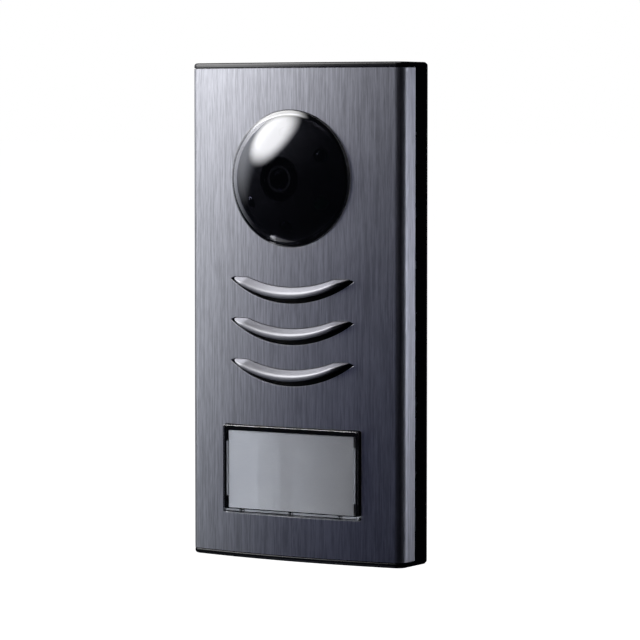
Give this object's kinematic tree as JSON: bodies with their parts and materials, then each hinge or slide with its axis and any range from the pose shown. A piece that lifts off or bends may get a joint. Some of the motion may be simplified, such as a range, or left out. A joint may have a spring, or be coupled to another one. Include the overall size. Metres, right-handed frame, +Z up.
{
  "type": "door intercom panel",
  "caption": "Surface-mounted video door station: bowed brushed metal front, smoked camera dome, crescent speaker louvres and an illuminated name-plate call button.",
  "frame": {"origin": "on the wall plane, in the middle of the panel's width and height, at the back face of the wall bracket", "axes": "+Z up, +Y into the wall, so that the front faces -Y, and +X to the right of a person who faces the panel"},
  "size_m": [0.099, 0.0362, 0.198],
  "materials": {
    "brushed_front": "vertically brushed, anodised",
    "black_plastic": "satin black",
    "inner_plastic": "matte black moulding",
    "shroud_plastic": "matte black, low reflection",
    "gloss_black": "gloss black",
    "black_rubber": "matte rubber",
    "zinc_steel": "zinc plated",
    "screw_steel": "plated screw",
    "spring_steel": "spring wire",
    "satin_silver": "satin silver",
    "acoustic_mesh": "fine black mesh",
    "speaker_film": "moulded film",
    "smoked_dome": "smoked, polished",
    "led_clear": "clear epoxy",
    "lens_glass": "coated lens glass",
    "circuit_board": "green solder mask",
    "chip_black": "moulded chip package",
    "capacitor_sleeve": "shrink sleeve",
    "relay_case": "moulded case",
    "terminal_green": "moulded terminal body",
    "white_plastic": "opal white",
    "label_sheet": "plain grey insert card",
    "clear_cover": "clear polycarbonate"
  },
  "bodies": {
    "panel": {"front_cover": "brushed_front", "top_cap": "black_plastic", "bottom_cap": "black_plastic", "cap_screws": "screw_steel", "rear_housing": "black_plastic", "housing_gasket": "black_rubber", "wall_bracket": "zinc_steel", "security_screw": "screw_steel", "inner_chassis": "inner_plastic", "chassis_screws": "screw_steel", "louvre_insert": "satin_silver", "speaker_mesh": "acoustic_mesh", "speaker_gasket": "black_rubber", "speaker_frame": "zinc_steel", "speaker_cone": "speaker_film", "speaker_magnet": "zinc_steel", "camera_dome": "smoked_dome", "dome_gasket": "black_rubber", "led_shroud": "shroud_plastic", "ir_led_board": "circuit_board", "ir_leds": "led_clear", "camera_bracket": "inner_plastic", "bracket_screws": "screw_steel", "main_board": "circuit_board", "board_screws": "screw_steel", "board_chips": "chip_black", "capacitors": "capacitor_sleeve", "relay": "relay_case", "terminal_block": "terminal_green", "terminal_screws": "screw_steel", "volume_trimmer": "relay_case", "switch_bodies": "inner_plastic", "backlight_leds": "led_clear", "return_springs": "spring_steel", "microphone": "zinc_steel", "microphone_boot": "black_rubber"},
    "call_button": {"button_carrier": "gloss_black", "label_diffuser": "white_plastic", "name_label": "label_sheet", "button_window": "clear_cover"},
    "plungers": {"switch_plungers": "white_plastic"},
    "pan_ring": {"pan_frame": "inner_plastic"},
    "camera": {"tilt_cradle": "inner_plastic", "camera_board": "circuit_board", "image_sensor": "chip_black", "lens_holder": "shroud_plastic", "lens_barrel": "shroud_plastic", "lens_element": "lens_glass"},
    "volume_rotor": {"trimmer_rotor": "white_plastic"}
  },
  "joints": [
    {"name": "call_button_press", "type": "slide", "parent": "panel", "child": "call_button", "axis": [0, 1, 0], "range_m": [0, 0.001], "stiffness_N_per_m": 800, "springref_m": -0.0015, "deforming": ["return_springs"]},
    {"name": "switch_travel", "type": "slide", "parent": "panel", "child": "plungers", "axis": [0, 1, 0], "range_m": [0, 0.001]},
    {"name": "camera_pan", "type": "hinge", "parent": "panel", "child": "pan_ring", "pos_m": [0, -0.016, 0.0531], "axis": [0, 0, 1], "range_deg": [-8, 8]},
    {"name": "camera_tilt", "type": "hinge", "parent": "pan_ring", "child": "camera", "pos_m": [0, -0.016, 0.0531], "axis": [1, 0, 0], "range_deg": [-8, 8]},
    {"name": "volume_trim", "type": "hinge", "parent": "panel", "child": "volume_rotor", "pos_m": [0.02, -0.004, -0.025], "axis": [0, 1, 0], "range_deg": [-135, 135]}
  ],
  "couplings": [
    {"joint": "switch_travel", "follows": "call_button_press", "ratio": 1}
  ]
}
